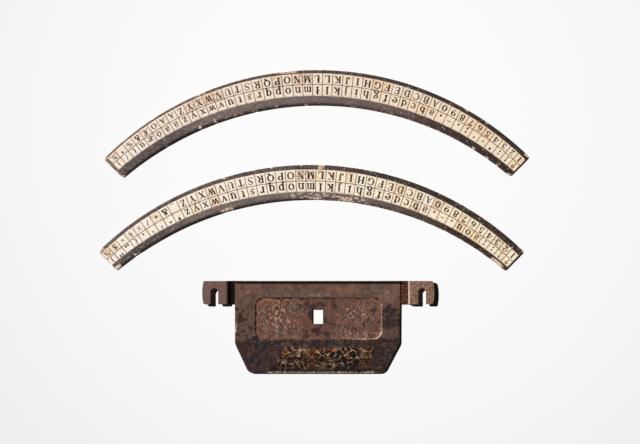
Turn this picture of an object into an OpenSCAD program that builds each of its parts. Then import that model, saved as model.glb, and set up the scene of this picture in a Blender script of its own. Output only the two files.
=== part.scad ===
// Loose parts of an index typewriter, laid flat on a table as they were found:
// two curved index scales, each a black board with a printed paper label, and
// the pressed shield plate that hangs on two open slots and has the type window.
// The part stands on z = 0, with its origin under the middle of its bounding box.

/* [Scale boards] */
// Thickness of a scale's board
board_t = 1.6; // [1:0.1:3]
// Radius of a board's four corners
board_corner_r = 1.5; // [1:0.1:3]
// Thickness of the paper label
label_t = 0.2; // [0.1:0.05:0.4]

/* [Upper scale] */
// Radius of the outer edge, about the pivot of the pointer
upper_outer_r = 187; // [180:0.5:195]
// Radius of the inner edge
upper_inner_r = 182.8; // [178:0.1:190]
// Width of the board at its middle
upper_w = 21.5; // [20:0.1:26]
// How far the inner edge's centre stands to the right of the pivot
upper_skew = -0.4; // [-2:0.1:2]
// Angle from the middle to each end
upper_half_angle = 44.9; // [42:0.1:47]
// Angle that the board is turned to the left under its label
upper_turn = 0.3; // [0:0.05:0.3]
// Black margin outside the label, at the middle
upper_label_margin = 2.1; // [1:0.1:3]
// Width of the label at its middle
upper_label_w = 14.1; // [12:0.1:16]
// Radius of the label's outer edge
upper_label_outer_r = 185.1; // [180:0.1:190]
// Radius of the label's inner edge
upper_label_inner_r = 185.5; // [180:0.1:190]

/* [Lower scale] */
// Radius of the outer edge, about the pivot of the pointer
lower_outer_r = 188.7; // [182:0.1:197]
// Radius of the inner edge
lower_inner_r = 185.8; // [180:0.1:192]
// Width of the board at its middle
lower_w = 21.3; // [20:0.1:26]
// How far the inner edge's centre stands to the right of the pivot
lower_skew = -0.3; // [-2:0.1:2]
// Angle from the middle to each end
lower_half_angle = 44.4; // [42:0.1:47]
// Black margin outside the label, at the middle
lower_label_margin = 2.9; // [1:0.1:4]
// Width of the label at its middle
lower_label_w = 14; // [12:0.1:16]
// Radius of the label's outer edge
lower_label_outer_r = 185.6; // [180:0.1:190]
// Radius of the label's inner edge
lower_label_inner_r = 186.5; // [180:0.1:190]

/* [Labels] */
// How far a label was glued to the left of its board's middle
label_skew = -1.1; // [-2:0.1:0]
// Angle of bare board at each end of the upper label, before the board is turned
upper_bare_angle = 0.35; // [0.1:0.01:1]
// Angle of bare board at each end of the lower label
lower_bare_angle = 0.12; // [0.1:0.01:1]

/* [Shield plate] */
// Width of the plate
shield_w = 102.4; // [98:0.2:120]
// Height of the plate, from the upturned lip to the bottom edge
shield_h = 57.4; // [50:0.1:70]
// Thickness of the pressed sheet
sheet_t = 0.9; // [0.6:0.1:1.2]
// Height of the cut corners
cut_h = 18.4; // [12:0.1:24]
// How far the left cut corner comes in
cut_left = 8.6; // [5:0.1:14]
// How far the right cut corner comes in
cut_right = 9.8; // [5:0.1:14]
// Radius where the sides turn into the cut corners
knee_r = 8; // [3:0.5:12]
// Radius of the bottom corners
foot_r = 5; // [2:0.5:8]
// Height of the upturned lip above the plate
lip_h = 2.6; // [1:0.1:5]

/* [Sunk panel] */
// Width of the sunk panel
panel_w = 78.1; // [60:0.1:82]
// Height of the sunk panel
panel_h = 25.2; // [16:0.1:32]
// How deep the panel is sunk
panel_depth = 0.8; // [0.4:0.1:1]
// Corner radius of the panel
panel_r = 5; // [2:0.5:8]
// Distance from the lip's outer face to the panel
panel_drop = 10.7; // [8:0.1:13]
// How far the panel stands to the right of the plate's middle
panel_shift = 0.65; // [0:0.05:1]

/* [Type window] */
// Width of the window
window_w = 6.6; // [5:0.1:10]
// Height of the window
window_h = 9.1; // [6:0.1:12]
// Distance from the lip's outer face to the middle of the window
window_drop = 22.2; // [20:0.1:25]
// How far the window stands to the right of the plate's middle
window_shift = 0.1; // [-1:0.1:1]

/* [Brackets] */
// Thickness of the bracket strip
strip_t = 1.2; // [0.8:0.1:1.6]
// Height of the strip, along the plate's side
strip_h = 14.4; // [12:0.1:18]
// Inside radius of the strip's two bends
bend_r = 0.4; // [0.2:0.1:0.6]
// Low stretch of the left strip between the plate and the upright
left_reach = 4.1; // [3:0.1:8]
// Low stretch of the right strip between the plate and the upright
right_reach = 5.1; // [3:0.1:8]
// Height of the ear's top above the table
ear_z = 4.4; // [3.8:0.1:8]
// Length of the ear
ear_l = 16; // [13:0.1:20]
// How far the ear's outer edge bulges
ear_bulge = 0.8; // [0.2:0.1:1.5]
// Corner radius of the ear
ear_corner_r = 0.8; // [0.4:0.1:1.5]

/* [Hanging slots] */
// Diameter of the stud that a slot hangs on
stud_d = 4.6; // [3:0.1:5.5]
// Clearance between a stud and its slot, all round
stud_clearance = 0.1; // [0.05:0.05:0.3]
// Distance from the ear's outer edge to the slot's middle
slot_in = 7.5; // [6:0.1:9]
// Distance from the strip's top edge to the middle of the slot's round end
slot_drop = 6.8; // [5:0.1:8]

/* [Rivets] */
// Diameter of a rivet's shank
shank_d = 2; // [1.5:0.1:2.6]
// Clearance between a shank and its hole, all round
shank_clearance = 0.05; // [0.02:0.01:0.1]
// Diameter of the left rivet's head
left_head_d = 3.2; // [3:0.1:5]
// Diameter of the right rivet's head
right_head_d = 4; // [3:0.1:5]
// Height of a rivet's head
head_h = 0.4; // [0.2:0.1:0.8]
// Distance from a rivet to the inner end of the bracket's tab
rivet_margin = 3; // [2.5:0.1:4]
// Clearance between the bracket's tab and the sunk panel's wall
tab_clearance = 0.3; // [0.1:0.1:1]

/* [Layout on the table] */
// Distance from the shield's lip up to the upper scale's highest point
upper_y = 130.8; // [120:0.1:150]
// How far the upper scale's middle stands to the left of the shield's
upper_x = 0; // [0:0.1:10]
// Distance from the shield's lip up to the lower scale's highest point
lower_y = 72; // [65:0.1:85]
// How far the lower scale's middle stands to the left of the shield's
lower_x = 4.1; // [0:0.1:10]

/* [Hidden] */
$fn = 64;
// Steps in the long arcs and in the small round corners
arc_steps = 90;
corner_steps = 8;
// How far a cutting shape runs past the face that it cuts
past = 1;
// Radius of a corner that looks sharp
sharp_r = 0.1;

// The panel is sunk in the sheet, and the sheet lies on the bracket strips
plate_z = strip_t + sheet_t;
slot_r = stud_d / 2 + stud_clearance;
// Length of a tab, from the plate's side to the panel's wall; side is -1 on the left
function tab_length(side) =
    (shield_w - panel_w) / 2 - side * panel_shift - sheet_t - tab_clearance;
function rivet_in(side) = tab_length(side) - rivet_margin;
rivet_y = -strip_h / 2;
// The rivet's tail fills a cone in the underside of the tab
tail_h = strip_t / 2;
tail_d = shank_d + 2 * tail_h;

// A direction at an angle from +Y, turning to the right
function ray(angle) = [sin(angle), cos(angle)];
function angle_of(v) = atan2(v[0], v[1]);
function unit(v) = v / norm(v);

// Distance from the pivot, along the ray at an angle, to a circle round the pivot
function reach_of(centre, r, angle) =
    let (along = ray(angle) * centre)
    along + sqrt(along * along - centre * centre + r * r);

// Centre of an edge's circle: skewed sideways, and low enough to give its depth
function edge_centre(outer_r, depth, r, skew) = [skew, outer_r - depth - r];

// Points on an arc of a circle, from one direction to another
function arc(centre, r, from, to, steps) =
    [for (i = [0:steps]) centre + r * ray(from + (to - from) * i / steps)];

// Centre of the fillet between a board's right end and its outer edge
function outer_fillet(outer_r, angle) =
    (outer_r - board_corner_r) * ray(angle - asin(board_corner_r / (outer_r - board_corner_r)));

// Centre of the fillet between a board's right end and its inner edge
function inner_fillet(centre, r, angle) =
    let (inward = board_corner_r * ray(angle - 90),
         along = ray(angle) * (inward - centre),
         off = inward - centre)
    inward + ray(angle) * (sqrt(along * along - off * off + pow(r + board_corner_r, 2)) - along);

// Outline of a board's right half, from the middle of the outer edge to that of the inner
function half_board(outer_r, centre, r, angle) =
    let (p = outer_fillet(outer_r, angle), q = inner_fillet(centre, r, angle))
    concat(
        arc([0, 0], outer_r, 0, angle_of(p), arc_steps / 2),
        arc(p, board_corner_r, angle_of(p), angle + 90, corner_steps),
        arc(q, board_corner_r, angle + 90, angle_of(centre - q) + 360, corner_steps),
        arc(centre, r, angle_of(q - centre), -asin(centre[0] / r), arc_steps / 2));

function mirrored(points) = [for (i = [len(points) - 1:-1:0]) [-points[i][0], points[i][1]]];

// Corners of a convex outline moved in by a distance
function inset(points, d) = [for (i = [0:len(points) - 1])
    let (n = len(points), b = points[i],
         u = unit(points[(i + n - 1) % n] - b), v = unit(points[(i + 1) % n] - b))
    b + unit(u + v) * d / sin(acos(u * v) / 2)];

// Points that round the corner b, between its neighbours a and c
function fillet(a, b, c, r) =
    let (u = unit(a - b), v = unit(c - b), half = acos(u * v) / 2,
         centre = b + unit(u + v) * r / sin(half),
         from = angle_of(b + u * r / tan(half) - centre),
         to = angle_of(b + v * r / tan(half) - centre),
         sweep = (to - from + 540) % 360 - 180)
    arc(centre, r, from, from + sweep, corner_steps);

// An outline with each corner rounded by its own radius
function rounded(points, radii) = [for (i = [0:len(points) - 1])
    let (n = len(points))
    each fillet(points[(i + n - 1) % n], points[i], points[(i + 1) % n], radii[i])];

// Corners of the shield's sheet, from the top left clockwise
shield_corners = [
    [-shield_w / 2, 0], [shield_w / 2, 0],
    [shield_w / 2, cut_h - shield_h], [shield_w / 2 - cut_right, -shield_h],
    [-shield_w / 2 + cut_left, -shield_h], [-shield_w / 2, cut_h - shield_h]];
shield_radii = [sharp_r, sharp_r, knee_r, foot_r, foot_r, knee_r];

// The layout is moved so that the origin is the middle of the bounding box
leftmost = -lower_x - outer_fillet(lower_outer_r, lower_half_angle)[0] - board_corner_r;
rightmost = -upper_x + outer_fillet(upper_outer_r, upper_half_angle - upper_turn)[0]
    + board_corner_r;
layout = [-(leftmost + rightmost) / 2, -(upper_y - shield_h) / 2, 0];

// A flat crescent board; its pivot is at the origin
module board(outer_r, inner_r, w, skew, angle) {
    right = half_board(outer_r, edge_centre(outer_r, w, inner_r, skew), inner_r, angle);
    left = mirrored(half_board(outer_r, edge_centre(outer_r, w, inner_r, -skew), inner_r, angle));
    linear_extrude(board_t) polygon(concat(left, right));
}

// A paper label between two arcs, cut off along rays from the pivot
module label(outer_r, margin, w, label_outer_r, label_inner_r, angle) {
    outer_centre = edge_centre(outer_r, margin, label_outer_r, label_skew);
    inner_centre = edge_centre(outer_r, margin + w, label_inner_r, label_skew);
    angles = [for (i = [0:arc_steps]) angle * (2 * i / arc_steps - 1)];
    outer_edge = [for (a = angles) ray(a) * reach_of(outer_centre, label_outer_r, a)];
    inner_edge = [for (a = angles) ray(-a) * reach_of(inner_centre, label_inner_r, -a)];
    translate([0, 0, board_t]) linear_extrude(label_t) polygon(concat(outer_edge, inner_edge));
}

module upper_place() {
    translate(layout + [-upper_x, upper_y - upper_outer_r, 0]) children();
}

module lower_place() {
    translate(layout + [-lower_x, lower_y - lower_outer_r, 0]) children();
}

module upper_scale_board() {
    color([0.17, 0.15, 0.14]) upper_place() rotate(upper_turn)
        board(upper_outer_r, upper_inner_r, upper_w, upper_skew, upper_half_angle);
}

module upper_scale_label() {
    color([0.93, 0.86, 0.75]) upper_place()
        label(upper_outer_r, upper_label_margin, upper_label_w,
            upper_label_outer_r, upper_label_inner_r, upper_half_angle - upper_bare_angle);
}

module lower_scale_board() {
    color([0.15, 0.13, 0.12]) lower_place()
        board(lower_outer_r, lower_inner_r, lower_w, lower_skew, lower_half_angle);
}

module lower_scale_label() {
    color([0.94, 0.87, 0.76]) lower_place()
        label(lower_outer_r, lower_label_margin, lower_label_w,
            lower_label_outer_r, lower_label_inner_r, lower_half_angle - lower_bare_angle);
}

// The sunk panel's outline, grown by a margin
module panel_outline(grow) {
    half = [panel_w / 2 + grow, panel_h / 2 + grow];
    r = panel_r + grow;
    translate([panel_shift, -panel_drop - panel_h / 2])
        polygon(rounded([[-half[0], half[1]], half, [half[0], -half[1]], -half], [r, r, r, r]));
}

// Pressed sheet: flat top, turned-down rim, upturned lip, sunk panel and window
module shield_plate() {
    rim_corners = inset(shield_corners, sheet_t);
    rim_radii = [for (r = shield_radii) max(r - sheet_t, sharp_r)];
    color([0.36, 0.25, 0.2]) translate(layout) difference() {
        union() {
            difference() {
                linear_extrude(plate_z) polygon(rounded(shield_corners, shield_radii));
                translate([0, 0, -past]) linear_extrude(past + strip_t)
                    polygon(rounded(rim_corners, rim_radii));
                // No rim under the lip, nor where the bracket strips pass out
                translate([-shield_w, -strip_h - tab_clearance, -past])
                    cube([2 * shield_w, strip_h + tab_clearance + past, past + strip_t]);
            }
            translate([-shield_w / 2, -sheet_t, strip_t]) cube([shield_w, sheet_t, sheet_t + lip_h]);
            translate([0, 0, strip_t - panel_depth]) linear_extrude(sheet_t) panel_outline(sheet_t);
        }
        translate([0, 0, plate_z - panel_depth]) linear_extrude(panel_depth + past) panel_outline(0);
        translate([window_shift - window_w / 2, -window_drop - window_h / 2, -past])
            cube([window_w, window_h, plate_z + 2 * past]);
        for (side = [-1, 1])
            translate([side * (shield_w / 2 - rivet_in(side)), rivet_y, 0])
                cylinder(h = plate_z + past, d = shank_d + 2 * shank_clearance);
    }
}

// A Z-bent strip: tab under the plate, upright, and a raised ear with an open slot
module bracket(side, web) {
    tab_l = tab_length(side);
    far = web + ear_l;
    outer_bend = bend_r + strip_t;
    difference() {
        intersection() {
            rotate([90, 0, 0]) linear_extrude(strip_h) polygon(rounded(
                [[-tab_l, 0], [web + strip_t, 0], [web + strip_t, ear_z - strip_t],
                 [far, ear_z - strip_t], [far, ear_z], [web, ear_z], [web, strip_t], [-tab_l, strip_t]],
                [sharp_r, outer_bend, bend_r, sharp_r, sharp_r, outer_bend, bend_r, sharp_r]));
            linear_extrude(ear_z) polygon(strip_outline(tab_l, far));
        }
        translate([far - slot_in, -slot_drop, 0]) {
            cylinder(h = ear_z + past, r = slot_r);
            translate([-slot_r, -strip_h, 0]) cube([2 * slot_r, strip_h, ear_z + past]);
        }
        translate([-rivet_in(side), rivet_y, 0]) {
            translate([0, 0, -past]) cylinder(h = strip_t + 2 * past, d = shank_d + 2 * shank_clearance);
            tail(shank_clearance);
        }
    }
}

// The strip from above: round corners, and a bulging edge at the ear's far end
function strip_outline(tab_l, far) =
    let (half = strip_h / 2, r = (half * half + ear_bulge * ear_bulge) / (2 * ear_bulge),
         bulge = arc([far - r, -half], r, 90 - asin(half / r) / 2, 90 + asin(half / r) / 2, corner_steps),
         top = [far - ear_bulge, 0], bottom = [far - ear_bulge, -strip_h],
         tab_top = [-tab_l, 0], tab_bottom = [-tab_l, -strip_h])
    concat(
        fillet(tab_bottom, tab_top, top, ear_corner_r),
        fillet(tab_top, top, bulge[0], ear_corner_r),
        bulge,
        fillet(bulge[corner_steps], bottom, tab_bottom, ear_corner_r),
        fillet(bottom, tab_bottom, tab_top, ear_corner_r));

// Cone at the underside of the tab, grown by a clearance
module tail(grow) {
    cylinder(h = tail_h, d1 = tail_d + 2 * grow, d2 = shank_d + 2 * grow);
}

module left_bracket() {
    color([0.45, 0.36, 0.33]) translate(layout) mirror([1, 0, 0])
        translate([shield_w / 2, 0, 0]) bracket(-1, left_reach);
}

module right_bracket() {
    color([0.46, 0.35, 0.28]) translate(layout) translate([shield_w / 2, 0, 0])
        bracket(1, right_reach);
}

// Shank and tail below the plate's face, low domed head above it
module rivet(side, head_d) {
    sphere_r = (head_d * head_d / 4 + head_h * head_h) / (2 * head_h);
    translate(layout + [side * (shield_w / 2 - rivet_in(side)), rivet_y, 0]) {
        cylinder(h = plate_z, d = shank_d);
        tail(0);
        translate([0, 0, plate_z]) intersection() {
            cylinder(h = head_h + past, d = head_d);
            translate([0, 0, head_h - sphere_r]) sphere(r = sphere_r);
        }
    }
}

module left_rivet() {
    color([0.42, 0.3, 0.26]) rivet(-1, left_head_d);
}

module right_rivet() {
    color([0.45, 0.38, 0.34]) rivet(1, right_head_d);
}

upper_scale_board();
upper_scale_label();
lower_scale_board();
lower_scale_label();
shield_plate();
left_bracket();
right_bracket();
left_rivet();
right_rivet();
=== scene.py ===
import math
import random

import bmesh
import bpy
from mathutils import Matrix, Vector, noise


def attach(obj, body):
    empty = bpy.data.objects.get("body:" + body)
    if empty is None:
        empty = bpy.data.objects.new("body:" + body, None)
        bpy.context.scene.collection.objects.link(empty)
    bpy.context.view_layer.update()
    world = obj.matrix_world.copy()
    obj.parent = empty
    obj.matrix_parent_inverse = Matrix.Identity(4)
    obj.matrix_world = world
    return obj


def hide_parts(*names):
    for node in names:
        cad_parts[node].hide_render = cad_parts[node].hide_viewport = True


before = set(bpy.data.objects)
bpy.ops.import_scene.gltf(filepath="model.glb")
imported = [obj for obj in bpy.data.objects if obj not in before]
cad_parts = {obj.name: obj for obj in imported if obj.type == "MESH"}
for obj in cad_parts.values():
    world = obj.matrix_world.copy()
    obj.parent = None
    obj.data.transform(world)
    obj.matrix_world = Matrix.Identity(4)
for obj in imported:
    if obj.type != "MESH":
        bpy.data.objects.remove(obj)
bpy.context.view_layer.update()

# ---- The two scale boards ------------------------------------------------------------
# Curved boards cut from pressed fibre board, 1.6 mm thick, and dipped in black lacquer.
# Their edges are rubbed down to the tan board, and the lacquer has greyed and flaked.
# Shade is painted along their inner edges on the left half, and a highlight along the edges that face the
# lamp.

MM = 0.001
BOARD_T = 1.6
BOARD_CORNER = 1.5
BOARD_EDGE = 0.42

# The warp at each end: how far the top drops, and between which angles
END_DROP = 0.5
WARP_START = 33
WARP_STOP = 43

# How deep a chip goes in the face and in the wall, how near its edge or its end a point
# counts as on that wall, and the reach of a wear that takes in the whole end
CHIP_DEPTH = 0.16
CHIP_BITE = 0.12
WALL_ZONE = 0.35
END_ZONE = 0.6
WHOLE_END = 60

# Each board is an arc about its pivot, end degrees to either side, turned a little. Its
# inner edge is struck from a centre of its own, so that the board is narrower at its
# ends. The last number is how strong a pale line is painted along its outer edge on the
# left: a painted highlight where that edge faces the lamp, with greyed lacquer
boards = {
    "upper": {"pivot": Vector((2.412, -92.9, 0)), "end": 44.9, "turn": 0.3, "outer_r": 187.0,
              "inner_r": 182.8, "inner_centre": Vector((-0.4, -17.3, 0)), "edge_highlight_painted": 0.65},
    "lower": {"pivot": Vector((-1.688, -153.4, 0)), "end": 44.4, "turn": 0.0, "outer_r": 188.7,
              "inner_r": 185.8, "inner_centre": Vector((-0.3, -18.4, 0)), "edge_highlight_painted": 0.35},
}

# Where the lacquer is worn off: edge, middle and half length in degrees, reach in
# millimetres from that edge, and how bare it is, above 1 where it is bare right through
worn_places = {
    "upper": [("outer", -37.0, 10.0, 0.9, 0.62), ("outer", -23.0, 2.2, 1.4, 0.8),
              ("outer", -5.8, 3.0, 2.0, 0.9), ("outer", 1.5, 3.8, 1.0, 0.5),
              ("outer", 29.7, 0.8, 1.3, 0.85), ("outer", 34.2, 0.5, 1.4, 0.8),
              ("inner", -33.7, 0.6, 0.9, 0.85), ("inner", -25.7, 0.5, 3.5, 0.85),
              ("inner", -22.3, 0.5, 3.5, 0.85), ("inner", -18.0, 3.5, 2.6, 0.42),
              ("inner", -13.6, 1.0, 1.0, 0.9), ("inner", -8.8, 0.4, 3.2, 0.7),
              ("inner", -2.7, 0.8, 0.9, 0.9), ("inner", 24.5, 0.4, 1.0, 0.8),
              ("inner", 34.9, 0.5, 2.4, 0.9), ("inner", 38.4, 0.6, 1.8, 0.9),
              ("inner", 41.0, 0.4, 1.5, 0.85), ("outer", -45.4, 0.9, WHOLE_END, 0.45),
              ("outer", 44.4, 1.2, 1.7, 1.0), ("inner", 44.4, 1.2, 1.7, 0.95),
              ("outer", -45.0, 1.0, 2.2, 0.8), ("inner", -45.0, 0.8, 1.6, 0.8)],
    "lower": [("outer", 1.95, 0.9, 3.6, 1.35), ("outer", 9.0, 6.5, 0.7, 0.62),
              ("outer", -16.0, 2.4, 0.8, 0.7), ("outer", -16.5, 0.4, 1.7, 0.9),
              ("outer", -10.8, 0.4, 1.3, 0.85), ("outer", -7.5, 0.4, 1.3, 0.85),
              ("outer", -1.8, 0.4, 1.3, 0.85), ("outer", -43.8, 1.0, 2.6, 1.05),
              ("outer", 43.1, 0.8, 0.8, 0.9), ("inner", -43.6, 1.0, 3.2, 1.1),
              ("inner", -39.0, 1.8, 0.8, 0.8), ("inner", -39.3, 0.4, 1.6, 0.95),
              ("inner", -18.0, 2.1, 2.8, 0.9), ("inner", 1.0, 2.3, 2.3, 0.85),
              ("inner", 7.4, 2.3, 4.0, 0.85), ("inner", 7.5, 8.0, 0.6, 0.65),
              ("inner", 24.3, 0.3, 1.3, 0.85), ("inner", 29.3, 0.3, 1.3, 0.85),
              ("inner", 37.3, 0.3, 1.3, 0.85), ("inner", 42.0, 2.2, 2.8, 1.15),
              ("outer", 44.3, 0.6, 1.4, 1.0), ("outer", -44.6, 0.7, WHOLE_END, 0.8)],
}


def ray(angle):
    """The direction at an angle in degrees from straight up, turning to the right."""
    return Vector((math.sin(math.radians(angle)), math.cos(math.radians(angle)), 0))


def reach(centre, radius, angle):
    """How far along a ray from the pivot a circle round another centre lies."""
    along = ray(angle).dot(centre)
    return along + math.sqrt(along**2 - centre.length_squared + radius**2)


def smooth(start, stop, value):
    """0 up to start, 1 from stop on, and an even curve between; stop may be the lower."""
    t = min(max((value - start) / (stop - start), 0.0), 1.0)
    return t * t * (3 - 2 * t)


def end_drop(angle):
    """How much lower the top of a board is near its ends, where it has warped flat."""
    return END_DROP * smooth(WARP_START, WARP_STOP, abs(angle))


def crescent(outer, inner, end, columns, rows):
    """A flat curved strip between two circles, each a centre and a radius."""
    bm = bmesh.new()
    for centre, radius in (outer, inner):
        first, last = (ray(a) * reach(centre, radius, a) for a in (-end, end))
        sweep = (first - centre).angle(last - centre)
        bmesh.ops.spin(bm, geom=[bm.verts.new(first)], cent=centre, axis=(0, 0, 1),
                       angle=-sweep, steps=columns, use_merge=False)
    across = bmesh.ops.bridge_loops(bm, edges=bm.edges[:])["edges"]
    bmesh.ops.subdivide_edges(bm, edges=across, cuts=rows - 1, use_grid_fill=True)
    return bm


def round_corner(bm, corner, along, down, radius, cuts=9):
    """Trims a flat corner round. along and down point from it down its two edges."""
    centre = corner + (along + down).normalized() * radius / math.sin(along.angle(down) / 2)
    from_side = -(down - along * down.dot(along)).normalized()
    to_side = -(along - down * along.dot(down)).normalized()
    for cut in range(1, cuts):
        out = from_side.slerp(to_side, cut / cuts)
        near = [v for v in bm.verts if (v.co - corner).length < 3 * radius]
        edges = list({e for v in near for e in v.link_edges})
        faces = list({f for v in near for f in v.link_faces})
        bmesh.ops.bisect_plane(bm, geom=near + edges + faces, dist=1e-4, clear_outer=True,
                               plane_co=centre + out * (radius - 0.02), plane_no=out)


def thicken(bm, low, high):
    """Gives a flat sheet its thickness, from one height to another."""
    bmesh.ops.translate(bm, verts=bm.verts, vec=(0, 0, low))
    grown = bmesh.ops.extrude_face_region(bm, geom=bm.faces[:], use_keep_orig=True)["geom"]
    bmesh.ops.translate(bm, verts=[v for v in grown if isinstance(v, bmesh.types.BMVert)],
                        vec=(0, 0, high - low))
    bmesh.ops.recalc_face_normals(bm, faces=bm.faces)


def soften(bm, edges, width, segments=3):
    """Rounds over to a width those edges that an earlier round hasn't taken up."""
    bmesh.ops.bevel(bm, geom=[e for e in edges if e.is_valid], offset=width, profile=0.5,
                    offset_type="OFFSET", affect="EDGES", segments=segments, material=-1,
                    clamp_overlap=True)


def finish_piece(bm, name, pivot=Vector()):
    """Makes a piece from a mesh in millimetres about its pivot."""
    bm.transform(Matrix.Translation(pivot * MM) @ Matrix.Scale(MM, 4))
    mesh = bpy.data.meshes.new(name)
    bm.to_mesh(mesh)
    bm.free()
    mesh.shade_smooth()
    piece = bpy.data.objects.new(name, mesh)
    bpy.context.scene.collection.objects.link(piece)
    return piece


def cut_board(size, rims):
    """A board as it was cut, with its corners trimmed round and its edges eased."""
    bm = crescent(rims["outer"], rims["inner"], size["end"], columns=520, rows=24)
    for side in (-1, 1):
        end = ray(side * size["end"])
        inward = ray(side * (size["end"] - 90))
        top, foot = (end * reach(*rims[rim], side * size["end"]) for rim in ("outer", "inner"))
        heel = (foot - size["inner_centre"]).normalized()
        round_corner(bm, top, inward, -end, BOARD_CORNER)
        round_corner(bm, foot, Vector((-heel.y, heel.x, 0)) * side, end, BOARD_CORNER)
    thicken(bm, 0, BOARD_T)
    soften(bm, [e for e in bm.edges if e.calc_face_angle(0) > 1], BOARD_EDGE)
    return bm


def lacquer_wear(which, point, angle, depth, to_end):
    """How the lacquer has worn at a point, and where shade and a highlight are painted on it, by its
    angle and its depth from each edge.
    """
    edge = min(*depth.values(), to_end)
    streak = noise.noise(Vector((angle * 0.7, edge * 0.8, 3))) + 0.5 * noise.noise(point * 0.5)
    rubbed = 0.45 * smooth(0.8, 0.0, edge) + 0.45 * streak * smooth(1.6, 0.0, edge)
    edge_shade_painted = scratched = 0.0
    if depth["outer"] < depth["inner"]:
        rubbed *= 1 - 0.5 * smooth(0, 20, angle)
        # painted highlight: a pale line along the outer edge on the left half, which faces the lamp, with
        # greyed lacquer
        faded = boards[which]["edge_highlight_painted"] * smooth(0.9, 0.45, edge) * smooth(-14, -26, angle)
    else:
        rubbed *= 0.5 + 0.5 * smooth(2, 12, angle)
        # painted shade: a dark line along the inner edge on the left half, which is rounded away from the
        # lamp and casts its shadow there
        edge_shade_painted = smooth(1.15, 0.6, edge) * smooth(16, 4, angle)
        faded = 0.2 * smooth(-36, -22, angle) * smooth(30, 12, angle) * smooth(0.8, 1.4, edge)
        if which == "lower":
            scratched = smooth(10, 6, abs(angle - 4)) * smooth(0.2, 0.9, edge)
    # painted highlight: a pale line along the left ends, which face the lamp, with greyed lacquer
    if angle < 0:
        faded = max(faded, 0.7 * smooth(1.4, 0.8, to_end))
    rubbed *= 1 - faded
    for rim, middle, half, deep, strength in worn_places[which]:
        here = smooth(half, 0.3 * half, abs(angle - middle))
        rubbed = max(rubbed, strength * here * smooth(deep, 0.4 * deep, depth[rim]))
    return {"rubbed": rubbed, "edge_shade_painted": edge_shade_painted, "faded": faded, "scratched": scratched}


def make_board(which):
    """One lacquered board, with its wear marked and its chips cut in the mesh."""
    size = boards[which]
    rims = {"outer": (Vector(), size["outer_r"]), "inner": (size["inner_centre"], size["inner_r"])}
    bm = cut_board(size, rims)
    turned = Matrix.Rotation(math.radians(size["turn"]), 4, "Z")
    bm.transform(turned)
    rims["inner"] = (turned @ size["inner_centre"], size["inner_r"])
    layers = {name: bm.verts.layers.float.new(name)
              for name in ("rubbed", "edge_shade_painted", "faded", "scratched")}
    for v in bm.verts:
        flat = Vector((v.co.x, v.co.y, 0))
        angle = math.degrees(math.atan2(v.co.x, v.co.y))
        depth = {rim: abs((flat - centre).length - radius) for rim, (centre, radius) in rims.items()}
        to_end = (size["end"] - abs(angle + size["turn"])) * math.radians(flat.length)
        wear = lacquer_wear(which, v.co, angle, depth, to_end)
        for name, share in wear.items():
            v[layers[name]] = share
        ragged = wear["rubbed"] + 0.25 * noise.noise(v.co * 0.9) + 0.15 * noise.noise(v.co * 2.3)
        chip = smooth(0.55, 0.9, ragged)
        v.co.z *= 1 - end_drop(angle) / BOARD_T
        v.co.z -= CHIP_DEPTH * chip * smooth(0.5, 1.8, v.co.z)
        if min(*depth.values(), to_end) < WALL_ZONE:
            inward = flat.normalized() * (-1 if depth["outer"] < depth["inner"] else 1)
            if to_end < END_ZONE:
                inward = ray(angle + 90) * (-1 if angle > 0 else 1)
            v.co += inward * chip * CHIP_BITE
    board = finish_piece(bm, f"{which}_board_lacquered", size["pivot"])
    board.data.materials.append(lacquer)
    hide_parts(f"{which}_scale_board")
    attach(board, f"{which}_scale")


def paint(red, green, blue):
    """A colour given on a scale of 0 to 255, as the light that it stands for."""
    return *((c / 255 / 12.92 if c < 10.3 else ((c / 255 + 0.055) / 1.055) ** 2.4)
             for c in (red, green, blue)), 1.0


def add_node(tree, kind, inputs=None, **settings):
    """One node of a kind in a tree, with its settings made and its inputs joined or set."""
    made = tree.nodes.new("ShaderNode" + kind)
    for key, value in settings.items():
        setattr(made, key, value)
    for key, value in (inputs or {}).items():
        if isinstance(value, bpy.types.NodeSocket):
            tree.links.new(value, made.inputs[key])
        else:
            made.inputs[key].default_value = value
    return made


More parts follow.
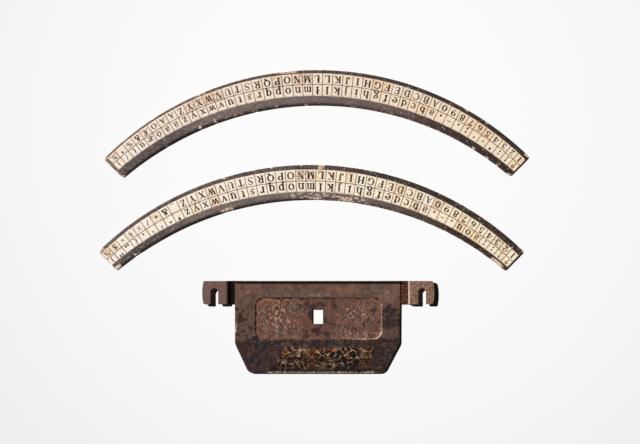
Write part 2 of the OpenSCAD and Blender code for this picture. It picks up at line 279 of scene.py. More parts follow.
class Finish:
    """A finish being mixed, in millimetres on the piece it covers."""

    def __init__(self, name, roughness, specular):
        self.material = bpy.data.materials.new(name)
        self.material.use_nodes = True
        self.tree = self.material.node_tree
        self.shader = self.tree.nodes["Principled BSDF"]
        self.shader.inputs["Roughness"].default_value = roughness
        self.shader.inputs["Specular IOR Level"].default_value = specular
        piece = self.add("TexCoord").outputs["Object"]
        self.place = self.add("Mapping", {"Vector": piece, "Scale": (1 / MM,) * 3}).outputs[0]

    def add(self, kind, inputs=None, **settings):
        return add_node(self.tree, kind, inputs, **settings)

    def step(self, value, start, stop):
        """0 up to start, 1 from stop on, and smooth between; stop may be the lower."""
        return self.add("MapRange", {"Value": value, "From Min": start, "From Max": stop},
                        interpolation_type="SMOOTHSTEP").outputs["Result"]

    def clouds(self, size, low=0.35, high=0.65, detail=3.0, rough=0.55, stretch=(1, 1, 1),
               place=None):
        """Patches of about that size, from 0 to 1; a wider gap from low to high is softer."""
        spread = self.add("Mapping", {"Vector": place or self.place,
                                      "Scale": tuple(s / size for s in stretch)}).outputs[0]
        cloud = self.add("TexNoise", {"Vector": spread, "Scale": 1.0, "Detail": detail,
                                      "Roughness": rough})
        return self.step(cloud.outputs["Fac"], low, high)

    def flecks(self, spacing, width, place=None):
        """Small round flecks, 1 at their middles; width is a share of the spacing."""
        cells = self.add("TexVoronoi", {"Vector": place or self.place, "Scale": 1 / spacing},
                         feature="F1")
        return self.step(cells.outputs["Distance"], width, width * 0.4)

    def veins(self, spacing, width, place=None):
        """A net of thin cracks round cells of that spacing, 1 on a crack."""
        net = self.add("TexVoronoi", {"Vector": place or self.place, "Scale": 1 / spacing},
                       feature="DISTANCE_TO_EDGE")
        return self.step(net.outputs["Distance"], width, width * 0.3)

    def warped(self, size, amount):
        """The place, pushed about so that a pattern on it isn't regular."""
        push = self.add("TexNoise", {"Vector": self.place, "Scale": 1 / size, "Detail": 2.0})
        off = self.add("VectorMath", {0: push.outputs["Color"], 1: (0.5, 0.5, 0.5)},
                       operation="SUBTRACT").outputs[0]
        return self.add("VectorMath", {0: off, 1: (amount, amount, amount), 2: self.place},
                        operation="MULTIPLY_ADD").outputs[0]

    def mark(self, name):
        """What was marked on the piece's mesh under that name."""
        return self.add("Attribute", attribute_name=name).outputs["Fac"]

    def sum(self, a, b, operation="ADD"):
        return self.add("Math", {0: a, 1: b}, operation=operation).outputs[0]

    def times(self, a, b):
        return self.sum(a, b, "MULTIPLY")

    def most(self, a, b):
        return self.sum(a, b, "MAXIMUM")

    def uneven(self, value, pattern, amount):
        """A value made uneven by a pattern, as much above it as below."""
        return self.sum(value, self.times(self.sum(pattern, -0.5), amount))

    def mix(self, share, under, over):
        """One colour over another, where share is 1."""
        return self.add("Mix", {0: share, 6: under, 7: over}, data_type="RGBA").outputs[2]

    def lay(self, under, strength, share, over):
        """One colour laid thinly over another: at most as strong as strength says."""
        return self.mix(self.times(share, strength), under, over)

    def colour(self, value):
        self.tree.links.new(value, self.shader.inputs["Base Color"])

    def roughness(self, value, low, high):
        """From low to high, as the value goes from 0 to 1."""
        span = self.add("MapRange", {"Value": value, "To Min": low, "To Max": high})
        self.tree.links.new(span.outputs[0], self.shader.inputs["Roughness"])

    def relief(self, height, depth):
        """Raises the surface by a depth in millimetres where height is 1."""
        bump = self.add("Bump", {"Height": height, "Distance": depth * MM, "Strength": 1.0})
        if self.shader.inputs["Normal"].is_linked:
            self.tree.links.new(self.shader.inputs["Normal"].links[0].from_socket,
                                bump.inputs["Normal"])
        self.tree.links.new(bump.outputs[0], self.shader.inputs["Normal"])


def mix_lacquer():
    """Black lacquer, greyer to the left, with pinholes, rubs and bare tan board, painted shade along the
    inner edges and a painted highlight along the lit edges.
    """
    f = Finish("board_lacquer_black", roughness=0.5, specular=0.16)
    across = f.add("SeparateXYZ", {0: f.place}).outputs["X"]
    greyed = f.step(across, 100, -70)
    grain = f.clouds(0.9, 0.3, 0.7, detail=5, rough=0.7)
    black = f.mix(greyed, paint(36, 27, 23), paint(84, 77, 75))
    blue = f.clouds(2.6, 0.45, 0.6, detail=5)
    black = f.lay(black, 0.8, blue, f.mix(greyed, paint(23, 18, 17), paint(50, 49, 56)))
    dull = f.clouds(1.7, 0.48, 0.64, detail=5, stretch=(0.7, 1.2, 1), place=f.warped(6, 8))
    dulled = f.times(dull, f.sum(f.times(greyed, 0.48), 0.27))
    black = f.mix(dulled, black, f.mix(greyed, paint(136, 110, 94), paint(146, 130, 118)))
    brown = f.clouds(6, 0.5, 0.68, detail=5)
    black = f.lay(black, 0.4, brown, paint(98, 68, 52))
    black = f.lay(black, 0.4, grain, paint(26, 21, 20))
    pits = f.times(f.flecks(1.5, 0.34, f.warped(4, 3.5)), f.clouds(4, 0.54, 0.6))
    black = f.mix(f.times(pits, f.step(across, -90, 60)), black, paint(196, 178, 160))
    scratches = f.clouds(1.3, 0.54, 0.61, detail=4, stretch=(0.45, 1.3, 1), place=f.warped(5, 2))
    black = f.mix(f.times(scratches, f.mark("scratched")), black, paint(222, 202, 184))
    # painted shade along the inner edge on the left half
    black = f.mix(f.mark("edge_shade_painted"), black, paint(22, 13, 10))
    # greyed lacquer, with a painted highlight along the left outer edge and the left ends
    black = f.mix(f.mark("faded"), black, paint(178, 154, 146))
    ragged = f.uneven(f.mark("rubbed"), grain, 0.75)
    bare = f.step(ragged, 0.46, 0.66)
    tan = f.mix(f.clouds(1.6, 0.35, 0.65, detail=4), paint(158, 120, 102), paint(234, 212, 190))
    rusty = f.mix(f.step(ragged, 0.26, 0.46), black, paint(104, 64, 48))
    f.colour(f.mix(bare, rusty, tan))
    f.roughness(f.sum(f.times(dull, 0.4), bare), 0.42, 0.9)
    f.relief(grain, 0.06)
    f.relief(bare, -0.12)
    return f.material


lacquer = mix_lacquer()
for which in boards:
    make_board(which)

# ---- The two paper labels ------------------------------------------------------------
# Strips of cream rag paper glued on the boards, printed in two rows of 45 cells. The
# paper has browned unevenly: single cells are stained orange or brown, a few are paler.

LABEL_T = 0.2
CELLS = 45
LABEL_CENTRE_X = -1.1
LABEL_SINK = 0.05
FRAY = 0.14
TINT_SEED = 45

# A cell is pitch degrees wide. margin and row are how far the outer edge and the line
# between the rows lie from the board's edge. tall is a capital's share of its row, and
# x_height a small letter's share of a capital. The rows run from the right end to the
# left. Cells named in brown, orange and pale are stained so, and faded is how faint the
# ink of the outer row is, past an angle
figures = "1234567890"
capitals = "ABCDEFGHIJKLMNOPQRSTUVWXYZ"
labels = {
    "upper": {"pitch": 1.983, "end": 44.55, "outer_r": 185.1, "inner_r": 185.5, "row_r": 184.7,
              "margin": 2.1, "width": 14.1, "row": 8.9, "tall": (0.66, 0.66), "x_height": 0.74,
              "rows": [figures + capitals.replace("M", "ŁM") + "ÄÅÖÆ&%’№",
                       "?!:’˘´;.–," + capitals.lower().replace("m", "łm") + "äåöæü(/)"],
              "brown": "XMPNWYV5№", "orange": "GF87b16?", "pale": "E", "faded": (0.55, -42.6)},
    "lower": {"pitch": 1.9735, "end": 44.28, "outer_r": 185.6, "inner_r": 186.5, "row_r": 185.1,
              "margin": 2.9, "width": 14.0, "row": 10.0, "tall": (0.65, 0.71), "x_height": 0.8,
              "rows": [figures + capitals + "_&+/×§=$%",
                       "?!:;äöü.–," + capitals.lower() + "’^´`,(„”)"],
              "brown": "MN%0b32", "orange": "D7!äöüIWwy+$L", "pale": "HA", "faded": (0.8, -38.4)},
}


def label_line(which, line):
    """Centre and radius of the outer edge, the row line or the inner edge."""
    size = labels[which]
    inner_edge = size["margin"] + size["width"]
    drop = {"outer": size["margin"], "row": size["row"], "inner": inner_edge}[line]
    radius = size[f"{line}_r"]
    return Vector((LABEL_CENTRE_X, boards[which]["outer_r"] - drop - radius, 0)), radius


def make_label(which):
    """One label, with its frayed edge, and where each stain lies marked on its mesh."""
    size = labels[which]
    bm = crescent(label_line(which, "outer"), label_line(which, "inner"), size["end"],
                  columns=CELLS * 8, rows=16)
    for v in bm.verts:
        if v.is_boundary:
            fray = (noise.noise(v.co * 0.8 + Vector((n, n, n))) for n in (0, 9))
            v.co += Vector((*fray, 0)) * FRAY
    thicken(bm, BOARD_T - LABEL_SINK, BOARD_T + LABEL_T)
    stained = {name: [(i, r) for r, row in enumerate(size["rows"]) for i, character in enumerate(row)
                      if character in size[name]] for name in ("brown", "orange", "pale")}
    layers = {name: bm.verts.layers.float.new(name) for name in (*stained, "cell", "rim")}
    tints = random.Random(TINT_SEED)
    tint = {(row, i): tints.random() for row in (0, 1) for i in range(CELLS)}
    for v in bm.verts:
        out = v.co.xy.length
        angle = math.degrees(math.atan2(v.co.x, v.co.y))
        far, middle, near = (reach(*label_line(which, line), angle) for line in ("outer", "row", "inner"))
        down = (far - out) / (far - middle) if out > middle else 1 + (middle - out) / (middle - near)
        column = CELLS / 2 - angle / size["pitch"]
        cell = (0 if down < 1 else 1, min(max(int(column), 0), CELLS - 1))
        v[layers["cell"]] = tint[cell]
        v[layers["rim"]] = smooth(0.3, 0.5, max(abs(column % 1 - 0.5), abs(down % 1 - 0.5)))
        for name, cells in stained.items():
            off = min(max(abs(column - i - 0.5), abs(down - r - 0.5)) for i, r in cells)
            v[layers[name]] = smooth(0.62, 0.42, off)
        v.co.z -= end_drop(angle)
    label = finish_piece(bm, f"{which}_label_paper", boards[which]["pivot"])
    label.data.materials.append(paper)
    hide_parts(f"{which}_scale_label")
    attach(label, f"{which}_scale")


def mix_paper():
    """Cream paper, warmer to the right and browner on the upper board, foxed and stained."""
    f = Finish("label_paper_cream", roughness=0.9, specular=0.1)
    axes = f.add("SeparateXYZ", {0: f.place}).outputs
    cream = f.mix(f.step(axes["X"], -110, 110), paint(252, 243, 229), paint(252, 237, 211))
    cream = f.lay(cream, 0.3, f.step(axes["Y"], 20, 60), paint(234, 200, 182))
    cream = f.lay(cream, 0.1, f.mark("cell"), paint(232, 196, 152))
    cream = f.lay(cream, 0.28, f.clouds(3, 0.45, 0.7, detail=5), paint(226, 186, 156))
    cream = f.lay(cream, 0.4, f.mark("pale"), paint(252, 248, 244))
    damp = f.times(f.mark("orange"), f.clouds(2.2, 0.35, 0.7, detail=4))
    cream = f.lay(cream, 0.75, damp, paint(228, 182, 120))
    old = f.times(f.mark("brown"), f.clouds(1.7, 0.38, 0.68, detail=4))
    cream = f.lay(cream, 0.8, old, paint(190, 138, 92))
    grime = f.times(f.mark("rim"), f.clouds(2.5, 0.3, 0.7, detail=4))
    cream = f.lay(cream, 0.5, grime, paint(206, 164, 126))
    fox = f.times(f.flecks(1.9, 0.22, f.warped(3, 2)), f.clouds(8, 0.45, 0.6))
    cream = f.lay(cream, 0.6, fox, paint(176, 128, 86))
    fibres = f.clouds(0.5, 0.3, 0.7, detail=4, stretch=(1, 0.5, 1))
    f.colour(f.lay(cream, 0.1, fibres, paint(204, 172, 142)))
    f.relief(fibres, 0.03)
    return f.material


paper = mix_paper()
for which in labels:
    make_label(which)

# ---- The printing on the labels ------------------------------------------------------
# Index characters in a bold modern face, in brown-black letterpress ink that stands a
# hair proud of the paper, with thin rules between the cells. Their feet point outwards.

# The pen's widths, for a capital 1 high, and how much bolder or lighter some strokes are
STEM = 0.25
HAIR = 0.105
X_HEIGHT = 0.64
FIGURE_BOLD = 1.1
MARK_BOLD = 1.5
SMALL_BOLD = 0.84
SIGN_BOLD = 0.68
LEG_BOLD = 0.92
SWELL = 1.6
BOWL_STEP = 24
QUOTE_SIZE = 1.35
QUOTE_Y = 0.7

# Accents, and how much lower a capital is cut under one
CAPITAL_CUT = 0.8
DOTS_Y = 0.92
DOTS_HALF = 0.15
DOT_R = 0.075
RING_Y = 0.9
RING_R = 0.08
RING_W = 0.055

# The ink, a third of it soaked into the paper, and the rules; how high a foot stands in
# its row, and how far a character is set out of line, in millimetres, and out of true
INK_T = 0.03
INK_SOAKED = 1 / 3
RULE_W = 0.4
RULE_SHORT = 0.2
ROW_STEPS = 180
FOOT_SHARE = 0.18
OUT_OF_LINE = 0.12
OUT_OF_TRUE = 1.2
SETTING_SEED = 7

# The pen strokes of each character. stem and post, a thin one: x, from y, to y.
# hair and leg: a thin and a thick line. foot, waist and cap: a serif's x and half length.
# bowl: centre, half width, half height, from and to an angle. dot: centre and radius.
# curl: x, y and width of each point on a bent stroke.
characters = {
    "A": "hair .1 0 .42 1 leg .4 1 .76 0 hair .2 .33 .62 .33 foot .1 .11 foot .76 .15",
    "B": "stem .2 0 1 bowl .42 .76 .26 .24 -90 90 bowl .44 .27 .3 .27 -90 90 hair .06 .97 .42 .97 "
         "hair .06 .03 .44 .03 hair .2 .52 .44 .52",
    "C": "bowl .45 .5 .36 .48 48 312 post .78 .66 .97",
    "D": "stem .2 0 1 bowl .4 .5 .38 .47 -90 90 hair .06 .97 .4 .97 hair .06 .03 .4 .03",
    "E": "stem .2 0 1 hair .06 .97 .72 .97 hair .06 .03 .76 .03 hair .2 .52 .55 .52 post .72 .72 1 "
         "post .76 0 .3 post .55 .4 .64",
    "F": "stem .2 0 1 hair .06 .97 .72 .97 hair .2 .52 .55 .52 foot .2 .17 post .72 .72 1 "
         "post .55 .4 .64",
    "G": "bowl .45 .5 .36 .48 48 300 stem .74 .05 .42 hair .58 .42 .9 .42 post .78 .68 .97",
    "H": "stem .18 0 1 stem .74 0 1 hair .18 .52 .74 .52 foot .18 .16 foot .74 .16 cap .18 .16 "
         "cap .74 .16",
    "I": "stem .3 0 1 foot .3 .2 cap .3 .2",
    "J": "stem .46 .2 1 cap .46 .2 bowl .29 .22 .17 .19 180 360 dot .14 .24 .1",
    "K": "stem .18 0 1 foot .18 .16 cap .18 .16 hair .2 .38 .7 .96 leg .36 .58 .76 .04 foot .78 .14 "
         "cap .7 .14",
    "L": "stem .2 0 1 hair .05 .03 .74 .03 cap .2 .17 post .74 0 .34",
    "Ł": "stem .24 0 1 hair .09 .03 .74 .03 cap .24 .17 post .74 0 .34 hair .02 .4 .5 .66",
    "M": "post .12 0 1 leg .16 .98 .45 .04 hair .45 .04 .78 .98 stem .8 0 1 foot .12 .11 foot .8 .16 "
         "cap .1 .1 cap .86 .1",
    "N": "post .16 0 1 leg .18 .98 .72 .06 post .76 0 1 foot .16 .12 cap .76 .12 cap .12 .1",
    "O": "bowl .46 .5 .36 .47 0 360",
    "P": "stem .2 0 1 bowl .42 .72 .29 .25 -90 90 hair .06 .97 .42 .97 hair .2 .47 .42 .47 foot .2 .17",
    "Q": "bowl .46 .54 .36 .44 0 360 leg .42 .2 .76 -.12",
    "R": "stem .2 0 1 bowl .42 .74 .26 .23 -90 90 hair .06 .97 .42 .97 hair .2 .5 .42 .5 "
         "leg .48 .5 .72 .05 foot .2 .17 foot .78 .1",
    "S": "curl .64 .76 .06 .58 .93 .07 .38 .97 .08 .18 .85 .14 .2 .67 .19 .42 .52 .22 .62 .35 .19 "
         ".6 .12 .13 .38 .03 .08 .2 .08 .07 .13 .26 .06 post .67 .7 .97 post .11 .03 .3",
    "T": "stem .42 0 1 hair .06 .97 .78 .97 post .06 .7 1 post .78 .7 1 foot .42 .18",
    "U": "stem .2 .3 1 curl .2 .34 .19 .26 .12 .15 .46 .03 .09 .68 .12 .08 .74 .34 .08 "
         "post .74 .3 1 cap .2 .16 cap .74 .12",
    "V": "leg .12 1 .44 .04 hair .44 .04 .76 1 cap .12 .16 cap .76 .12",
    "W": "leg .1 1 .32 .04 hair .32 .04 .5 .9 leg .48 1 .7 .04 hair .7 .04 .94 1 cap .1 .13 "
         "cap .48 .1 cap .94 .1",
    "X": "leg .16 1 .72 0 hair .14 .02 .74 .98 foot .14 .13 foot .74 .15 cap .14 .15 cap .74 .13",
    "Y": "leg .12 1 .42 .48 hair .42 .46 .74 1 stem .43 0 .5 foot .43 .17 cap .12 .15 cap .74 .12",
    "Z": "leg .66 .97 .16 .03 hair .14 .97 .72 .97 hair .12 .03 .74 .03 post .14 .7 .97 post .74 .03 .32",
    "Æ": "hair .04 0 .46 1 stem .54 0 1 hair .2 .36 .54 .36 hair .44 .97 .96 .97 hair .42 .03 .98 .03 "
         "hair .54 .52 .8 .52 post .96 .72 1 post .98 0 .3 foot .06 .1",
    "&": "bowl .4 .78 .15 .18 0 360 bowl .34 .27 .26 .25 70 330 leg .3 .7 .8 .04 "
         "hair .6 .2 .78 .5 foot .78 .1",
    "%": "bowl .22 .74 .15 .21 0 360 bowl .72 .26 .15 .21 0 360 hair .2 0 .74 1",
    "№": "post .12 0 1 leg .14 .98 .5 .04 post .54 0 1 foot .12 .1 cap .54 .1 cap .1 .1 dot .82 .08 .07",
    "1": "stem .34 0 1 foot .34 .2 hair .14 .82 .34 .97",
    "2": "curl .16 .72 .12 .22 .92 .09 .42 .96 .09 .62 .84 .16 .6 .62 .18 .38 .34 .12 .14 .08 .09 "
         "leg .12 .07 .66 .07 post .7 .04 .3 dot .17 .72 .09",
    "3": "bowl .36 .75 .22 .2 -80 150 bowl .36 .29 .26 .26 -150 80 dot .19 .78 .09 dot .13 .2 .1",
    "4": "stem .6 0 1 hair .56 .98 .02 .3 hair .02 .28 .84 .28 foot .6 .16",
    "5": "hair .18 .48 .2 .97 leg .18 .91 .64 .91 bowl .36 .3 .28 .27 -150 110 dot .13 .2 .1",
    "6": "bowl .4 .3 .26 .27 0 360 curl .62 .86 .08 .44 .96 .07 .24 .8 .12 .13 .5 .18 .14 .3 .16 "
         "dot .6 .84 .08",
    "7": "leg .12 .91 .7 .91 curl .7 .9 .06 .54 .62 .1 .4 .34 .18 .36 .04 .2 post .12 .68 .96",
    "8": "bowl .4 .76 .2 .2 0 360 bowl .4 .28 .26 .25 0 360",
    "9": "bowl .4 .7 .26 .27 0 360 curl .66 .7 .16 .67 .5 .18 .56 .2 .12 .36 .04 .07 .18 .14 .08 "
         "dot .2 .16 .08",
    "0": "bowl .4 .5 .29 .47 0 360",
    "a": "curl .14 .5 .1 .2 .62 .08 .36 .64 .1 .5 .52 .17 .5 .14 .17 .64 .03 .08 "
         "bowl .3 .18 .17 .16 70 300 hair .34 .36 .5 .4 dot .15 .5 .08",
    "b": "stem .18 .04 1 bowl .38 .33 .22 .3 -150 150 hair .04 .96 .18 .96",
    "c": "bowl .36 .33 .24 .3 52 308 dot .54 .5 .1",
    "d": "stem .54 0 1 bowl .34 .33 .22 .3 30 330 hair .4 .96 .54 .96 hair .54 .03 .68 .03",
    "e": "bowl .34 .33 .24 .3 0 310 hair .1 .36 .6 .36",
    "f": "stem .26 0 .8 bowl .42 .78 .16 .18 50 180 dot .54 .86 .1 hair .06 .62 .48 .62 foot .26 .19",
    "g": "bowl .3 .44 .18 .18 0 360 bowl .34 -.1 .24 .15 0 360 "
         "curl .16 .3 .07 .12 .18 .08 .3 .1 .14 .5 .04 .1 dot .54 .6 .08",
    "h": "stem .18 0 1 hair .04 .96 .18 .96 curl .2 .44 .06 .4 .62 .1 .58 .42 .17 .58 .04 .17 "
         "foot .18 .16 foot .58 .16",
    "i": "stem .26 0 .64 foot .26 .18 hair .1 .61 .26 .61 dot .26 .87 .11",
    "j": "stem .34 -.08 .64 hair .18 .61 .34 .61 curl .34 -.06 .16 .28 -.22 .1 .12 -.2 .08 "
         "dot .12 -.16 .08 dot .34 .87 .11",
    "k": "stem .18 0 1 hair .04 .96 .18 .96 hair .2 .24 .56 .62 leg .34 .4 .62 .04 foot .18 .16 "
         "foot .64 .13 waist .56 .11",
    "l": "stem .28 0 1 foot .28 .18 hair .12 .96 .28 .96",
    "ł": "stem .28 0 1 foot .28 .18 hair .12 .96 .28 .96 hair .06 .4 .5 .66",
    "m": "stem .14 0 .64 curl .16 .46 .06 .32 .62 .1 .45 .44 .16 .45 .04 .16 curl .47 .46 .06 .63 .62 .1 "
         ".76 .44 .16 .76 .04 .16 foot .14 .13 foot .45 .13 foot .76 .13",
    "n": "stem .18 0 .64 hair .04 .61 .18 .61 curl .2 .44 .06 .4 .62 .1 .58 .42 .17 .58 .04 .17 "
         "foot .18 .16 foot .58 .16",
    "o": "bowl .34 .33 .25 .3 0 360",
    "p": "stem .18 -.27 .64 hair .04 .61 .18 .61 bowl .38 .33 .22 .3 -150 150 hair .02 -.25 .36 -.25",
    "q": "stem .54 -.27 .64 bowl .34 .33 .22 .3 30 330 hair .36 -.25 .7 -.25",
    "r": "stem .2 0 .64 hair .06 .61 .2 .61 curl .22 .4 .06 .34 .58 .08 .48 .58 .1 dot .5 .54 .1 "
         "foot .2 .18",
    "s": "curl .46 .5 .06 .4 .61 .07 .26 .62 .08 .15 .5 .14 .3 .36 .18 .46 .2 .15 .38 .05 .08 "
         ".24 .03 .07 .14 .16 .06 post .49 .44 .62 post .11 .02 .2",
    "t": "stem .26 .12 .82 curl .26 .14 .16 .34 .04 .1 .48 .12 .06 hair .08 .62 .46 .62",
    "u": "stem .18 .18 .64 curl .18 .2 .17 .24 .06 .12 .4 .05 .09 .56 .2 .06 stem .56 0 .64 "
         "hair .04 .61 .18 .61 hair .42 .61 .56 .61 hair .56 .03 .7 .03",
    "v": "leg .12 .64 .34 .04 hair .34 .04 .58 .64 waist .12 .13 waist .58 .1",
    "w": "leg .1 .64 .28 .04 hair .28 .04 .44 .6 leg .44 .64 .62 .04 hair .62 .04 .8 .64 waist .1 .11 "
         "waist .44 .09 waist .8 .09",
    "x": "leg .14 .64 .54 .02 hair .12 .02 .56 .62 foot .12 .11 foot .57 .13 waist .13 .13 waist .56 .11",
    "y": "leg .12 .64 .36 .08 hair .6 .64 .28 -.2 dot .2 -.2 .09 waist .12 .13 waist .6 .1",
    "z": "leg .48 .6 .16 .04 hair .1 .61 .52 .61 hair .1 .03 .58 .03 post .12 .46 .62 post .58 .02 .2",
    "æ": "curl .08 .5 .08 .18 .62 .08 .3 .6 .12 .38 .44 .16 .38 .12 .16 bowl .22 .17 .14 .14 70 330 "
         "bowl .58 .33 .21 .3 0 310 hair .38 .36 .78 .36",
    "?": "curl .14 .74 .12 .2 .93 .08 .38 .95 .1 .54 .78 .17 .42 .56 .12 .3 .44 .08 .3 .28 .08 "
         "dot .3 .1 .1 dot .15 .74 .09",
    "!": "curl .3 1 .2 .3 .7 .15 .3 .3 .05 dot .3 .1 .11",
    ":": "dot .3 .12 .11 dot .3 .64 .11",
    ";": "dot .3 .64 .11 dot .3 .1 .1 curl .37 .1 .1 .36 -.04 .08 .24 -.16 .04",
    ".": "dot .3 .2 .11",
    ",": "dot .3 .22 .1 curl .37 .22 .1 .36 .08 .08 .24 -.06 .05",
    "’": "dot .3 .8 .1 curl .37 .8 .1 .36 .66 .08 .24 .54 .04",
    "´": "curl .18 .5 .08 .3 .66 .13 .42 .84 .13",
    "`": "curl .42 .5 .08 .3 .66 .13 .18 .84 .13",
    "^": "curl .1 .54 .1 .3 .78 .14 .5 .54 .1",
    "˘": "curl .12 .66 .06 .22 .46 .1 .38 .46 .1 .48 .66 .06",
    "”": "dot .2 .8 .09 curl .26 .8 .09 .25 .66 .08 .14 .54 .04 "
         "dot .55 .8 .09 curl .61 .8 .09 .6 .66 .08 .49 .54 .04",
    "„": "dot .2 .3 .09 curl .26 .3 .09 .25 .16 .08 .14 .04 .04 "
         "dot .55 .3 .09 curl .61 .3 .09 .6 .16 .08 .49 .04 .04",
    "–": "curl .04 .4 .08 .62 .4 .08",
    "_": "curl .04 -.08 .06 .6 -.08 .06",
    "(": "curl .42 1 .05 .24 .74 .12 .2 .4 .15 .24 .08 .12 .42 -.18 .05",
    ")": "curl .18 1 .05 .36 .74 .12 .4 .4 .15 .36 .08 .12 .18 -.18 .05",
    "/": "curl .12 0 .1 .5 1 .1",
    "+": "curl .1 .42 .11 .64 .42 .11 curl .37 .16 .11 .37 .7 .11",
    "×": "curl .1 .12 .08 .66 .86 .08 curl .1 .86 .08 .66 .12 .08",
    "=": "curl .12 .3 .1 .58 .3 .1 curl .12 .52 .1 .58 .52 .1",
    "§": "curl .58 .82 .06 .38 .96 .06 .2 .8 .1 .5 .56 .11 .56 .4 .08 .36 .3 .06 "
         "curl .32 .66 .06 .14 .52 .08 .24 .38 .11 .52 .2 .1 .38 .02 .06 .14 .14 .06",
}
characters["$"] = characters["S"] + " post .4 -.1 1.1"

# Accented characters are a plain one with marks over it; the capitals are cut lower
accents = {"Ä": ("A", "dots"), "Ö": ("O", "dots"), "Å": ("A", "ring"), "ä": ("a", "dots"),
           "ö": ("o", "dots"), "ü": ("u", "dots"), "å": ("a", "ring")}


def ribbon(bm, course, closed=False):
    """A flat ribbon of ink along a course of (x, y, width)."""
    sides = [], []
    for i, (x, y, width) in enumerate(course):
        before = course[i - 1] if i or closed else course[0]
        after = course[(i + 1) % len(course)] if closed or i + 1 < len(course) else course[-1]
        along = Vector((after[0] - before[0], after[1] - before[1], 0)).normalized()
        out = Vector((-along.y, along.x, 0)) * width / 2
        for side, sign in zip(sides, (1, -1)):
            side.append(bm.verts.new(Vector((x, y, 0)) + sign * out))
    edges = []
    for side in sides:
        ring = side + side[:1] if closed else side
        edges += [bm.edges.new(pair) for pair in zip(ring, ring[1:])]
    bmesh.ops.bridge_loops(bm, edges=edges)


def bent(points, steps=3):
    """A smooth course through a few (x, y, width) points."""
    points = [Vector(p) for p in points]
    held = [points[0]] + points + [points[-1]]
    course = []
    for a, b, c, d in zip(held, held[1:], held[2:], held[3:]):
        for k in range(steps):
            t = k / steps
            course.append(((b * 2) + (c - a) * t + (a * 2 - b * 5 + c * 4 - d) * t**2
                           + (b * 3 - a - c * 3 + d) * t**3) / 2)
    return [tuple(p) for p in course + [points[-1]]]


def draw_stroke(bm, kind, n, thick, bold):
    """One stroke of a character, by its kind and its numbers n."""
    serif_at = {"foot": HAIR / 2, "waist": X_HEIGHT - HAIR / 2, "cap": 1 - HAIR / 2}
    if kind in ("stem", "post"):
        width = thick if kind == "stem" else HAIR
        ribbon(bm, [(n[0], n[1], width), (n[0], n[2], width)])
    elif kind in ("hair", "leg"):
        width = HAIR if kind == "hair" else thick * LEG_BOLD
        ribbon(bm, [(n[0], n[1], width), (n[2], n[3], width)])
    elif kind in serif_at:
        ribbon(bm, [(n[0] + half, serif_at[kind], HAIR) for half in (-n[1], n[1])])
    elif kind == "bowl":
        turn = n[5] - n[4]
        steps = max(4, round(turn / BOWL_STEP))
        angles = [math.radians(n[4] + turn * k / steps) for k in range(steps + (turn < 360))]
        ribbon(bm, [(n[0] + n[2] * math.cos(a), n[1] + n[3] * math.sin(a),
                     HAIR + (thick - HAIR) * abs(math.cos(a)) ** SWELL) for a in angles],
               closed=turn == 360)
    elif kind == "curl":
        ribbon(bm, bent([(*n[i:i + 2], n[i + 2] * bold) for i in range(0, len(n), 3)]))
    else:
        bmesh.ops.create_circle(bm, cap_ends=True, segments=10, radius=n[2] * bold,
                                matrix=Matrix.Translation((n[0], n[1], 0)))


def draw_character(character, x_height):
    """The mesh of one character, 1 high, centred on x = 0; small letters are x_height high."""
    plain, accent = accents.get(character, (character, None))
    bm = bmesh.new()
    bold = FIGURE_BOLD if plain.isdigit() else 1.0 if plain.isalnum() else MARK_BOLD
    weight = SIGN_BOLD if plain in "%№" else SMALL_BOLD if plain.islower() else min(bold, FIGURE_BOLD)
    words = characters[plain].split()
    starts = [i for i, word in enumerate(words) if word.isalpha()] + [len(words)]
    for first, last in zip(starts, starts[1:]):
        numbers = [float(word) for word in words[first + 1:last]]
        draw_stroke(bm, words[first], numbers, STEM * weight, bold)
    middle = (min(v.co.x for v in bm.verts) + max(v.co.x for v in bm.verts)) / 2
    bmesh.ops.translate(bm, verts=bm.verts, vec=(-middle, 0, 0))
    if character in "’”„":
        bmesh.ops.scale(bm, verts=bm.verts, vec=(QUOTE_SIZE, QUOTE_SIZE, 1),
                        space=Matrix.Translation((0, -QUOTE_Y, 0)))
    if plain.islower():
        lift = x_height / X_HEIGHT
        for v in bm.verts:
            above = max(v.co.y - X_HEIGHT, 0)
            v.co.x *= (1 + lift) / 2
            v.co.y = (v.co.y - above) * lift + above * (1 - x_height) / (1 - X_HEIGHT)
    if accent and plain.isupper():
        bmesh.ops.scale(bm, verts=bm.verts, vec=(1, CAPITAL_CUT, 1))
    if accent == "dots":
        for x in (-DOTS_HALF, DOTS_HALF):
            bmesh.ops.create_circle(bm, cap_ends=True, segments=8, radius=DOT_R,
                                    matrix=Matrix.Translation((x, DOTS_Y, 0)))
    elif accent == "ring":
        ribbon(bm, [(RING_R * math.cos(a), RING_Y + RING_R * math.sin(a), RING_W)
                    for a in (i * math.pi / 4 for i in range(8))], closed=True)
    mesh = bpy.data.meshes.new("character")
    bm.to_mesh(mesh)
    bm.free()
    return mesh


